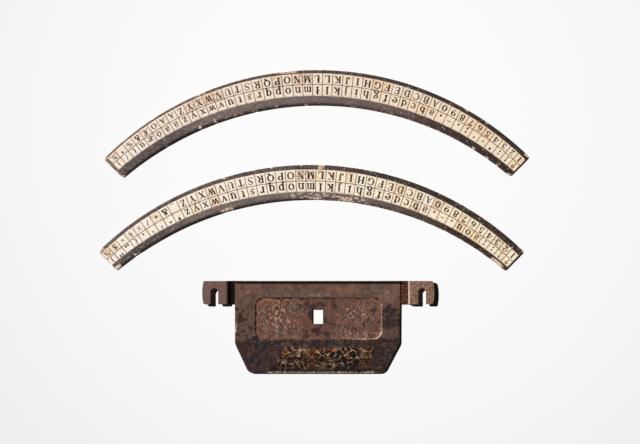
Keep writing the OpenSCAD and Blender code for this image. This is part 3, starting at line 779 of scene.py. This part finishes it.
def make_print(which):
    """All the ink on one label: its rules and its two rows of characters."""
    size = labels[which]
    bm = bmesh.new()
    lines = {line: label_line(which, line) for line in ("outer", "row", "inner")}
    for k in range(CELLS - 1):
        angle = (k - (CELLS - 2) / 2) * size["pitch"]
        far, near = (reach(*lines[line], angle) for line in ("outer", "inner"))
        ends = (far - RULE_SHORT, near + RULE_SHORT)
        ribbon(bm, [(*(ray(angle) * end).xy, RULE_W) for end in ends])
    span = [size["end"] * (2 * k / ROW_STEPS - 1) for k in range(ROW_STEPS + 1)]
    ribbon(bm, [(*(ray(a) * reach(*lines["row"], a)).xy, RULE_W) for a in span])
    on_rule = bm.verts.layers.float.new("rule")
    for v in bm.verts:
        v[on_rule] = 1
    drawn = {}
    setting = random.Random(SETTING_SEED)
    for r, (far_line, near_line) in enumerate((("outer", "row"), ("row", "inner"))):
        for i, character in enumerate(size["rows"][r]):
            if character not in drawn:
                drawn[character] = draw_character(character, size["x_height"])
            angle = ((CELLS - 1) / 2 - i) * size["pitch"]
            far, near = (reach(*lines[line], angle) for line in (far_line, near_line))
            tall = (far - near) * size["tall"][r]
            foot = far - (far - near) * FOOT_SHARE + setting.uniform(-OUT_OF_LINE, OUT_OF_LINE)
            lean = 180 - angle + setting.uniform(-OUT_OF_TRUE, OUT_OF_TRUE)
            known = len(bm.verts)
            bm.from_mesh(drawn[character])
            bm.verts.ensure_lookup_table()
            placed = Matrix.Translation(ray(angle) * foot) @ Matrix.Rotation(
                math.radians(lean), 4, "Z") @ Matrix.Scale(tall, 4)
            bmesh.ops.transform(bm, verts=bm.verts[known:], matrix=placed)
    for mesh in drawn.values():
        bpy.data.meshes.remove(mesh)
    bm.normal_update()
    bmesh.ops.reverse_faces(bm, faces=[face for face in bm.faces if face.normal.z < 0])
    faded = bm.verts.layers.float.new("faded")
    faint, past = size["faded"]
    for v in bm.verts:
        angle = math.degrees(math.atan2(v.co.x, v.co.y))
        if not v[on_rule]:
            dry = noise.noise(Vector((angle * 0.3, v.co.y * 0.02, 1)))
            v[faded] = max(0.4 * smooth(0.0, 0.45, dry), 0.32 * smooth(-8, -28, angle))
            if v.co.xy.length > reach(*lines["row"], angle):
                v[faded] = max(v[faded], faint * smooth(past + 1, past, angle))
        v.co.z = BOARD_T + LABEL_T + INK_T * (0.5 - INK_SOAKED) - end_drop(angle)
    printing = finish_piece(bm, f"{which}_label_print", boards[which]["pivot"])
    body = printing.modifiers.new("ink", "SOLIDIFY")
    body.thickness, body.offset = INK_T * MM, 0
    printing.data.materials.append(ink)
    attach(printing, f"{which}_scale")


def mix_ink():
    """Printer's ink gone brown-black, thinner where the paper was rubbed."""
    f = Finish("label_ink_brown_black", roughness=0.7, specular=0.25)
    thin = f.clouds(1.3, 0.45, 0.8, detail=4)
    dark = f.mix(f.clouds(12), paint(52, 38, 30), paint(70, 52, 40))
    dark = f.mix(f.mark("rule"), dark, paint(96, 72, 54))
    dark = f.mix(f.mark("faded"), dark, paint(150, 114, 84))
    f.colour(f.lay(dark, 0.45, thin, paint(112, 86, 66)))
    f.relief(f.clouds(0.4), 0.01)
    return f.material


ink = mix_ink()
for which in labels:
    make_print(which)

# ---- The shield plate ----------------------------------------------------------------
# Steel sheet 0.9 mm thick, pressed in one blow: a rim turned down, a lip turned up, and
# a sunk panel with the type window. It was japanned black, and has rusted through it.
# Shade is painted on the panel's left and upper walls, and highlights on its right and lower walls and
# along the left rim.

SHIELD = Vector((2.912, -36.7, 0))
SHEET_LEFT = -51.7
SHEET_RIGHT = 50.7
SHEET_FOOT = -57.4
SHEET_TOP = 2.1
PANEL_FLOOR = 1.3
panel_middle = Vector((0.15, -23.3, 0))
panel_half = Vector((39.05, 12.6, 0))
PANEL_CORNER = 5.0
window_middle = Vector((-0.4, -22.2, 0))
window_half = Vector((3.3, 4.55, 0))
WINDOW_CORNER = 0.01
rivet_heads = [Vector((x, -7.2, SHEET_TOP)) for x in (-43.4, 43.4)]

# How far its bends are rolled over, what tells the rim's edges and the lip's from others,
# and the net that its face is pitted on
RIM_CLEAR = 3
LIP_Y = -0.95
RIM_ROLL = 0.8
PANEL_ROLL = 0.38
LIP_ROLL = 0.3
WINDOW_ROLL = 0.12
SHEET_NET = 0.9

# The black is left below HELD_Y, with more of it on the right; where the gilt was laid,
# and how far rust has spread round a rivet
HELD_Y = -33.5
held_corners = {"left": 0.12, "right": 0.4}
held_sides = {"left": 0.4125, "right": 0.6325}
GILT_LEFT = -20.6
GILT_RIGHT = 34.0
GILT_TOP = -40.5
GILT_FOOT = -57.0
GILT_GAP = -48.6
RIVET_STAIN = 4.24


def merged_copy(node, middle):
    """A copy of a CAD node in millimetres about a middle, with flat faces made whole."""
    bm = bmesh.new()
    bm.from_mesh(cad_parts[node].data)
    bm.transform(Matrix.Translation(-middle) @ Matrix.Scale(1 / MM, 4))
    bmesh.ops.remove_doubles(bm, verts=bm.verts, dist=0.001)
    bmesh.ops.dissolve_limit(bm, angle_limit=0.005, verts=bm.verts, edges=bm.edges)
    return bm


def cut_to_cells(bm, spacing):
    """Cuts every face along a square net, so that the sheet can be pitted and dented."""
    for axis in (0, 1):
        low, high = (pick(v.co[axis] for v in bm.verts) for pick in (min, max))
        across = Vector((axis == 0, axis == 1, 0))
        for k in range(1, int((high - low) / spacing)):
            geometry = bm.verts[:] + bm.edges[:] + bm.faces[:]
            bmesh.ops.bisect_plane(bm, geom=geometry, dist=0.02, plane_no=across,
                                   plane_co=across * (low + k * spacing))


def box_distance(point, middle, half, corner):
    """Distance in the plan from a rounded box; below 0 inside it."""
    x, y = (abs(point[i] - middle[i]) - half[i] + corner for i in (0, 1))
    return math.hypot(max(x, 0), max(y, 0)) + min(max(x, y), 0) - corner


def level(edge, height):
    """Whether an edge lies at a height."""
    return all(abs(v.co.z - height) < 0.01 for v in edge.verts)


def outline_distance(edge, middle, half, corner):
    """How far the middle of an edge lies from a rounded box's outline."""
    return abs(box_distance((edge.verts[0].co + edge.verts[1].co) / 2, middle, half, corner))


def band(value, middle, half):
    """1 along the middle of a soft band, fading to either side over about half."""
    return math.exp(-((value - middle) / half) ** 2)


def japan_and_wall_shade(x, y, z, to_panel, wander):
    """Black: the japan that is left below the panel, down the sides and on the lip, and painted shade on
    the panel's left and upper walls.
    """
    side = "left" if x < 0 else "right"
    inside = smooth(0.4, -0.4, to_panel)
    corners = smooth(24, 33, abs(x - 1.5) + wander)
    below = smooth(HELD_Y, HELD_Y - 4, y + 0.6 * wander) * (0.8 + held_corners[side] * corners)
    beside = smooth(-12, -22, y + wander) * smooth(37, 42, abs(x) + 0.4 * wander)
    # painted shade on the panel's left and upper walls, which face away from the lamp
    walls = smooth(1.1, 0.3, abs(to_panel + 0.2)) * max(smooth(-36, -38.4, x), smooth(-13, -11.2, y))
    return max(max(below, held_sides[side] * beside) * (1 - inside),
               inside * (0.12 + 0.26 * band(x, -0.4, 8)), 0.6 * walls, 1.4 * smooth(2.3, 2.7, z))


def gilt_patch(x, y, wander):
    """The gilt patch, and its leaf, which is thinner below and rubbed off along a gap."""
    left_end = GILT_LEFT - 0.62 * min(max(GILT_TOP - 0.5 - y, 0), 15.5)
    gilt = (smooth(left_end - 1.5, left_end + 1, x + 0.4 * wander)
            * smooth(GILT_RIGHT, GILT_RIGHT - 1.5, x + 0.2 * wander)
            * smooth(GILT_TOP, GILT_TOP - 2, y + 0.3 * wander)
            * smooth(GILT_FOOT, GILT_FOOT + 1, y))
    gap = 0.9 * band(y + 0.1 * wander, GILT_GAP, 1.1)
    return gilt, gilt * (1 - gap) * smooth(-58, -46, y)


def worn_edges_and_painted_highlights(x, y, to_panel, wander):
    """Pale metal on the panel's right and lower walls and a band of the left rim, which face the lamp,
    partly scoured and partly a painted highlight; scoured metal along the foot.
    """
    # the panel's right and lower walls face the lamp: scoured metal with a painted highlight
    right = smooth(36, 38.6, x) * (0.5 * smooth(-12, -16, y) + 0.5 * smooth(-26, -33, y + wander))
    corner = 0.35 * smooth(5, 25, x + 2 * wander) + 0.4 * smooth(31, 37, x)
    walls = smooth(0.65, 0.1, abs(to_panel - 0.1)) * max(right, smooth(-34, -35.4, y) * (0.25 + corner))
    # painted highlight on a band of the left rim's bend, which faces the lamp
    left_rim = 0.9 * smooth(1.9, 1.1, x - SHEET_LEFT) * band(y, -30.2, 2.4)
    foot = smooth(1.6, 0.7, y - SHEET_FOOT) * smooth(36, 31, abs(x - 2)) * (0.66 + 0.08 * wander)
    return max(walls, left_rim, foot)


def pale_webs(x, y):
    """The stretches of the panel where the rust is crossed by pale webs."""
    return max(band(x, -25, 14) * band(y, -23, 13), 0.8 * band(x, 24, 13) * band(y, -20, 8),
               0.8 * band(x, 24, 16) * band(y, -33, 3))


def orange_rust(x, y, to_panel, inside):
    """Orange rust just inside the panel's edge, in a haze above it and round the rivets."""
    glow = smooth(-15.5, -11.5, y) * (0.35 + 0.65 * max(smooth(-8, -20, x), smooth(28, 36, x)))
    ring = smooth(-3.0, -0.8, to_panel) * inside
    ring *= max(0.85 * glow, 0.6 * smooth(33, 37, abs(x)), 0.5 * smooth(-32.5, -35, y))
    haze = band(y, -5.5, 3.5) * smooth(-0.2, 0.4, noise.noise(Vector((x * 0.05, y * 0.1, 5))))
    rivets = max(band(math.hypot(x - head.x, y - head.y), 0, RIVET_STAIN) for head in rivet_heads)
    return max(ring, 0.5 * haze, 0.4 * rivets, 0.3 * smooth(42, 47, x) * smooth(-30, -18, y))


def grey_bloom_and_rim_highlight(x, y):
    """Grey bloom beside and above the panel and at the upper right, and grey on the left rim, where the
    rim's bend faces the lamp: bloom with a painted highlight.
    """
    # bloom with a painted highlight along the left rim's bend, which faces the lamp
    left_rim = smooth(2.2, 0.8, x - SHEET_LEFT) * smooth(-14, -20, y) * smooth(-46, -38, y)
    beside = smooth(39, 40, x) * smooth(43, 41, x) * smooth(-13, -16, y) * smooth(-34, -28, y)
    return max(0.55 * left_rim, 0.6 * beside, 0.7 * band(x, -1, 14) * band(y, -8.6, 1.2),
               0.3 * band(x, 41, 8) * band(y, -8, 5))


def sheet_marks(x, y, z):
    """What shows at a point on the sheet's face, each from 0 to 1."""
    to_panel = box_distance((x, y), panel_middle, panel_half, PANEL_CORNER)
    inside = smooth(0.4, -0.4, to_panel)
    wander = noise.noise(Vector((x, y, 0)) * 0.07) * 4 + noise.noise(Vector((x, y, 7)) * 0.25) * 2
    gilt, leaf = gilt_patch(x, y, wander)
    return {"panel": inside, "black": japan_and_wall_shade(x, y, z, to_panel, wander), "gilt": gilt,
            "leaf": leaf, "bright": worn_edges_and_painted_highlights(x, y, to_panel, wander),
            "webs": inside * pale_webs(x, y), "bloom_and_rim_highlight": grey_bloom_and_rim_highlight(x, y),
            "orange": orange_rust(x, y, to_panel, inside)}


def make_shield():
    """The pressed sheet with its bends rounded, pitted, and marked for its finish."""
    bm = merged_copy("shield_plate", SHIELD)
    panel = (panel_middle, panel_half, PANEL_CORNER)
    window = (window_middle, window_half, WINDOW_CORNER)
    crisp = [e for e in bm.edges if e.is_manifold and e.calc_face_angle(0) > 0.6]
    on_panel = [e for e in crisp if outline_distance(e, *panel) < 0.1
                and (level(e, SHEET_TOP) or level(e, PANEL_FLOOR))]
    on_window = [e for e in crisp if outline_distance(e, *window) < 0.05]
    lip = [e for e in crisp if all(v.co.y > LIP_Y for v in e.verts) and not level(e, 0)]
    taken = set(on_panel + on_window + lip)
    rim = [e for e in crisp if e not in taken and level(e, SHEET_TOP)
           and outline_distance(e, *panel) > RIM_CLEAR
           and min((e.verts[0].co - head).length for head in rivet_heads) > RIM_CLEAR]
    soften(bm, rim, RIM_ROLL, segments=5)
    soften(bm, on_panel, PANEL_ROLL, segments=4)
    soften(bm, lip, LIP_ROLL)
    soften(bm, on_window, WINDOW_ROLL, segments=2)
    cut_to_cells(bm, SHEET_NET)
    layers = {name: bm.verts.layers.float.new(name)
              for name in ("panel", "black", "gilt", "leaf", "bright", "webs", "bloom_and_rim_highlight", "orange")}
    for v in bm.verts:
        x, y, z = v.co
        for name, share in sheet_marks(x, y, z).items():
            v[layers[name]] = share
        to_rim = min(x - SHEET_LEFT, SHEET_RIGHT - x, y - SHEET_FOOT)
        inner = smooth(1.0, 2.0, to_rim) * smooth(-0.4, -2.0, y) * smooth(0.1, 0.6, z)
        to_window = box_distance(v.co, *window)
        sag = noise.noise(v.co * 0.06) * 0.12 + noise.noise(v.co * 0.3) * 0.05
        pits = min(noise.noise(v.co * 0.8) + 0.25, 0) * 0.12
        v.co.z += (sag * smooth(0, 3, to_window) + pits * smooth(0, 1, to_window)) * inner
    piece = finish_piece(bm, "shield_sheet_japanned", SHIELD)
    piece.data.materials.append(japan)
    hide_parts("shield_plate")
    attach(piece, "shield")


def mix_japan():
    """Black japan over steel: rusted brown and red, black where it held, gilt left in veins, with painted
    shade on the panel's upper and left walls and painted highlights on its lit walls and the left rim.
    """
    f = Finish("shield_japan_rusted", roughness=0.6, specular=0.05)
    grain = f.clouds(1.1, 0.32, 0.68, detail=5, rough=0.7)
    fine = f.clouds(0.8, 0.36, 0.64, detail=3)
    brown = f.mix(f.clouds(5, 0.3, 0.7, detail=4), paint(94, 71, 62), paint(136, 106, 92))
    brown = f.lay(brown, 0.75, grain, paint(62, 46, 40))
    red = f.mix(f.clouds(6, 0.38, 0.62, detail=5), paint(101, 79, 70), paint(126, 84, 67))
    red = f.lay(red, 0.8, grain, paint(62, 42, 37))
    rust = f.mix(f.mark("panel"), brown, red)
    ember = f.step(f.uneven(f.mark("orange"), grain, 0.9), 0.3, 1.0)
    rust = f.lay(rust, 0.7, ember, paint(172, 100, 58))
    sparks = f.times(f.flecks(2.0, 0.24, f.warped(3, 3)), f.clouds(9, 0.48, 0.6))
    rust = f.lay(rust, 0.4, sparks, paint(164, 100, 62))
    # grey scuffs, and a painted highlight along the left rim
    grey_scuffs_and_rim_highlight = f.times(f.clouds(1.6, 0.47, 0.62, detail=5), f.mark("bloom_and_rim_highlight"))
    rust = f.lay(rust, 0.85, grey_scuffs_and_rim_highlight, paint(146, 140, 130))
    webs = f.clouds(0.9, 0.5, 0.63, detail=4, stretch=(1.5, 0.65, 1), place=f.warped(1.5, 1.2))
    webs = f.times(f.times(webs, f.mark("webs")), f.clouds(5, 0.34, 0.52))
    rust = f.lay(rust, 0.95, webs, paint(214, 172, 150))
    flaking = f.clouds(5, 0.34, 0.66, detail=6, rough=0.6)
    # black where the japan held, and painted shade on the panel's left and upper walls
    held = f.step(f.uneven(f.mark("black"), flaking, 0.95), 0.3, 0.7)
    black_and_shade = f.mix(f.clouds(8, 0.44, 0.54, detail=4), paint(40, 27, 23), paint(20, 21, 32))
    black_and_shade = f.lay(black_and_shade, 0.4, f.clouds(2.6, 0.48, 0.6, detail=5), paint(94, 68, 56))
    black_and_shade = f.lay(black_and_shade, 0.25, grain, paint(70, 50, 42))
    skin = f.mix(f.times(held, 0.95), rust, black_and_shade)
    ground = f.mix(fine, paint(7, 6, 9), paint(26, 19, 18))
    along = f.add("SeparateXYZ", {0: f.place}).outputs["X"]
    amber = f.most(f.times(f.step(along, -22, -18), f.step(along, 5, 1)),
                   f.times(f.step(along, 28.5, 30.5), f.step(along, 36.5, 34.5)))
    amber = f.times(f.times(amber, f.clouds(1.8, 0.5, 0.62, detail=5)), f.mark("leaf"))
    ground = f.lay(ground, 0.45, amber, paint(132, 76, 44))
    skin = f.mix(f.step(f.mark("gilt"), 0.05, 0.8), skin, ground)
    crazed = f.warped(1.3, 2.4)
    net = f.times(f.veins(4.2, 0.065, crazed), f.clouds(2.2, 0.4, 0.52, detail=3))
    fine_net = f.times(f.veins(1.7, 0.09, crazed), f.clouds(3.5, 0.54, 0.62, detail=4))
    islands = f.times(f.clouds(0.9, 0.48, 0.6, detail=3), f.clouds(6, 0.55, 0.66, stretch=(0.6, 1.3, 1)))
    gold = f.most(f.most(net, fine_net), f.times(islands, 0.9))
    gold = f.times(f.times(gold, f.mark("leaf")), 0.9)
    gilding = f.mix(f.clouds(5, 0.42, 0.6), paint(240, 198, 152), paint(184, 112, 64))
    gilding = f.mix(f.clouds(0.9, 0.45, 0.75), gilding, paint(112, 76, 54))
    skin = f.lay(skin, 0.95, gold, gilding)
    # scoured metal, and painted highlights on the panel's lit walls and the left rim
    scoured_and_painted_highlight = f.step(f.uneven(f.mark("bright"), grain, 1.1), 0.35, 1.0)
    f.colour(f.lay(skin, 0.75, scoured_and_painted_highlight, paint(222, 196, 176)))
    f.roughness(f.most(held, gold), 0.75, 0.45)
    f.relief(grain, 0.12)
    f.relief(f.clouds(2.4, 0.35, 0.65, detail=5), 0.15)
    f.relief(gold, 0.05)
    return f.material


japan = mix_japan()
make_shield()

# ---- The two bracket strips and their rivets -----------------------------------------
# Steel strip 1.2 mm thick, bent twice to lift the slotted ear, and riveted under the
# sheet by one round-headed rivet each. Bare steel gone brown, rustier on the right.
# Shade is painted on the low stretch beside each ear, and a highlight on the right ear's bend.

STRIP_EDGE = 0.22
STRIP_BEND = 56.0
STRIP_NET = 0.8


def make_bracket(side):
    """One strip, its corners eased by the shears, with a pitted face, marked where shade and a highlight
    are painted.
    """
    bm = merged_copy(f"{side}_bracket", SHIELD)
    crisp = [e for e in bm.edges if e.is_manifold and e.calc_face_angle(0) > 1]
    soften(bm, crisp, STRIP_EDGE, segments=2)
    cut_to_cells(bm, STRIP_NET)
    painted_low_stretch_shade, painted_bend_highlight = (bm.verts.layers.float.new(name) for name in ("painted_low_stretch_shade", "painted_bend_highlight"))
    for v in bm.verts:
        x, _, z = v.co
        # painted highlight along the right ear's inner bend, which faces the lamp
        v[painted_bend_highlight] = smooth(0.8, 0.2, abs(x - STRIP_BEND)) * smooth(1.6, 3.0, z)
        # painted shade on the low stretch: black on the left, where the ear's shadow falls; darker
        # maroon-brown in the right strip's corner
        v[painted_low_stretch_shade] = smooth(1.6, 1.25, z) * smooth(STRIP_BEND + 0.2, STRIP_BEND - 0.4, abs(x))
        v.co.z -= (noise.noise(v.co * 0.7) + 0.5) * 0.05 * smooth(0.05, 0.4, v.co.z)
    strip = finish_piece(bm, f"{side}_strip_browned", SHIELD)
    strip.data.materials.append(browned)
    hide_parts(f"{side}_bracket")
    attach(strip, "shield")


def mix_browned():
    """Bare steel browned with age: grey on the left strip, orange and cream on the right, with painted
    shade on the low stretches and a painted highlight on the right ear's bend.
    """
    f = Finish("strip_steel_browned", roughness=0.6, specular=0.04)
    across = f.add("SeparateXYZ", {0: f.place}).outputs["X"]
    right = f.step(across, -40, 40)
    grain = f.clouds(1.0, 0.3, 0.7, detail=5, rough=0.65)
    skin = f.mix(right, paint(120, 96, 91), paint(121, 90, 76))
    skin = f.lay(skin, 0.5, f.clouds(3.5, 0.35, 0.7, detail=4), paint(96, 72, 64))
    skin = f.lay(skin, 0.5, grain, paint(78, 56, 48))
    orange = f.times(f.clouds(1.5, 0.5, 0.62, detail=4), f.sum(f.times(right, 0.8), 0.1))
    skin = f.lay(skin, 0.65, orange, paint(172, 114, 76))
    cream = f.times(f.clouds(0.7, 0.54, 0.64, detail=3), f.sum(f.times(right, 0.75), 0.1))
    skin = f.lay(skin, 0.8, cream, paint(214, 186, 158))
    # painted shade: black on the left low stretch, darker maroon-brown on the right one
    rusty = f.mix(f.clouds(1.4, 0.42, 0.6, detail=4), paint(50, 27, 20), paint(98, 66, 52))
    black_and_shade = f.mix(right, paint(16, 8, 6), rusty)
    skin = f.mix(f.mark("painted_low_stretch_shade"), skin, black_and_shade)
    # painted highlight on the right ear's bend
    f.colour(f.lay(skin, 0.75, f.mark("painted_bend_highlight"), paint(226, 200, 180)))
    f.roughness(grain, 0.45, 0.75)
    f.relief(grain, 0.08)
    f.relief(orange, 0.05)
    return f.material


def mix_rivet():
    """A rivet head, rusted in with the sheet round it and rubbed at its crown."""
    f = Finish("rivet_steel_rusted", roughness=0.7, specular=0.12)
    grain = f.clouds(0.6, 0.3, 0.7, detail=5)
    skin = f.mix(f.clouds(1.8, 0.35, 0.65), paint(104, 74, 60), paint(138, 104, 86))
    skin = f.lay(skin, 0.6, grain, paint(66, 50, 44))
    height = f.add("SeparateXYZ", {0: f.place}).outputs["Z"]
    crown = f.times(f.step(height, 2.3, 2.5), f.clouds(0.9, 0.4, 0.6))
    f.colour(f.lay(skin, 0.5, crown, paint(158, 130, 112)))
    f.relief(grain, 0.05)
    return f.material


browned = mix_browned()
rusted = mix_rivet()
for side in ("left", "right"):
    make_bracket(side)
    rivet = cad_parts[f"{side}_rivet"]
    rivet.data.materials.clear()
    rivet.data.materials.append(rusted)

# ---- The table, the lamp and the camera ----------------------------------------------
# The parts lie on a plain white table under one hard lamp from the upper left, and are
# seen from straight above. The table is white where it is seen, and gives little light.

# The table's half width, and the circles about its middle between which it turns greyer, as a painted
# fall-off of light
TABLE_HALF = 3000
TABLE_MIDDLE = (20, 60, 0)
GREY_START = 60
GREY_STOP = 420
near_white = (0.963, 0.963, 0.963, 1)
far_white = (0.8, 0.8, 0.805, 1)
unseen_grey = (0.1, 0.1, 0.1, 1)

# The lamp's width is an angle, which softens the shadows' edges, and the room's faint
# light is what fills the shadows. VIEW_HALF is half the width that the camera takes in
LAMP_STRENGTH = 4.05
LAMP_WIDTH = 2
lamp_course = Vector((0.72, -0.38, -1.0))
ROOM_STRENGTH = 0.006
VIEW_ANGLE = 22
VIEW_HALF = 198.4
view_middle = Vector((4.0, -0.18, 2.0))


def seen(tree):
    """1 where a surface is seen, straight or in a gloss, and 0 where it only gives light."""
    rays = add_node(tree, "LightPath").outputs
    share = rays["Is Camera Ray"]
    for kind in ("Is Glossy Ray", "Is Transmission Ray"):
        share = add_node(tree, "Math", {0: share, 1: rays[kind]}, operation="MAXIMUM").outputs[0]
    return share


def mix_white():
    """White table top, a little greyer away from its middle: a painted fall-off of light."""
    f = Finish("table_white", roughness=1.0, specular=0.0)
    away = f.add("VectorMath", {0: f.place, 1: TABLE_MIDDLE}, operation="DISTANCE").outputs["Value"]
    seen_white = f.mix(f.step(away, GREY_START, GREY_STOP), near_white, far_white)
    f.colour(f.mix(seen(f.tree), unseen_grey, seen_white))
    return f.material


bm = bmesh.new()
bmesh.ops.create_grid(bm, x_segments=8, y_segments=8, size=TABLE_HALF)
table = finish_piece(bm, "table")
table.data.materials.append(mix_white())

lamp = bpy.data.objects.new("lamp", bpy.data.lights.new("lamp", "SUN"))
lamp.data.energy = LAMP_STRENGTH
lamp.data.angle = math.radians(LAMP_WIDTH)
lamp.rotation_euler = lamp_course.to_track_quat("-Z", "Y").to_euler()
bpy.context.scene.collection.objects.link(lamp)

room = bpy.data.worlds.new("room")
bpy.context.scene.world = room
room.use_nodes = True
tree = room.node_tree
dim = tree.nodes["Background"]
dim.inputs["Color"].default_value = (1, 1, 1, 1)
dim.inputs["Strength"].default_value = ROOM_STRENGTH
white = add_node(tree, "Background", {"Color": (1, 1, 1, 1)})
shown = add_node(tree, "MixShader", {0: seen(tree), 1: dim.outputs[0], 2: white.outputs[0]})
tree.links.new(shown.outputs[0], tree.nodes["World Output"].inputs["Surface"])

camera = bpy.data.objects.new("camera", bpy.data.cameras.new("camera"))
camera.data.angle = math.radians(VIEW_ANGLE)
height = VIEW_HALF / math.tan(math.radians(VIEW_ANGLE / 2))
camera.location = (view_middle + Vector((0, 0, height))) * MM
bpy.context.scene.collection.objects.link(camera)
bpy.context.scene.camera = camera
bpy.context.scene.view_settings.view_transform = "Standard"
